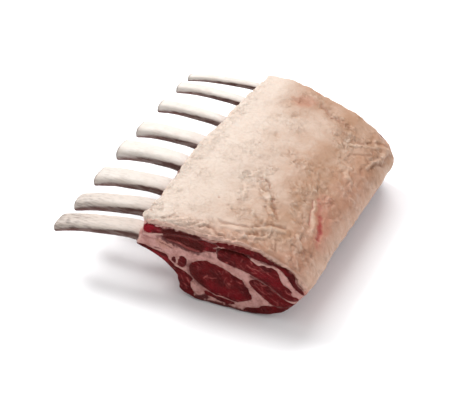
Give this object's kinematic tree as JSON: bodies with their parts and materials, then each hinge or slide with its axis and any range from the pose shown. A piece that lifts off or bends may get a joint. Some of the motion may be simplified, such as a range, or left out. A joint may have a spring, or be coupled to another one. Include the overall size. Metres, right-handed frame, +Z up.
{
  "type": "rack of lamb",
  "caption": "Raw frenched rack of lamb lying fat side up: bare rib bones on one side, loin under a fat cap, its muscles shown at both cuts.",
  "frame": {"origin": "middle of the underside of the whole object's box, on the surface it lies on", "axes": "+X from the rib tips to the back edge of the loin, +Y along the spine from the shoulder cut to the loin cut, +Z up through the fat"},
  "size_m": [0.176, 0.2084, 0.0574],
  "materials": {
    "fat": "soft raw fat, creamy white near the bones and tan towards the back edge, faintly moist",
    "seam_fat": "pink fat and connective tissue between the muscles, smooth and moist",
    "lean": "dark red raw muscle with fine grain and marbling, moist",
    "bone": "scraped rib bone, off-white with grey-brown mottling"
  },
  "bodies": {
    "root": {"fat_cap": "fat", "seam_fat": "seam_fat", "eye_muscle": "lean", "broad_muscle": "lean", "side_muscle": "lean", "wedge_muscle": "lean", "inner_strip_muscle": "lean", "outer_strip_muscle": "lean", "under_eye_muscle": "lean", "small_muscle_left": "lean", "small_muscle_right": "lean", "rib_muscle": "lean", "base_muscle": "lean", "rib_1": "bone", "rib_2": "bone", "rib_3": "bone", "rib_4": "bone", "rib_5": "bone", "rib_6": "bone", "rib_7": "bone", "rib_8": "bone"}
  },
  "joints": []
}
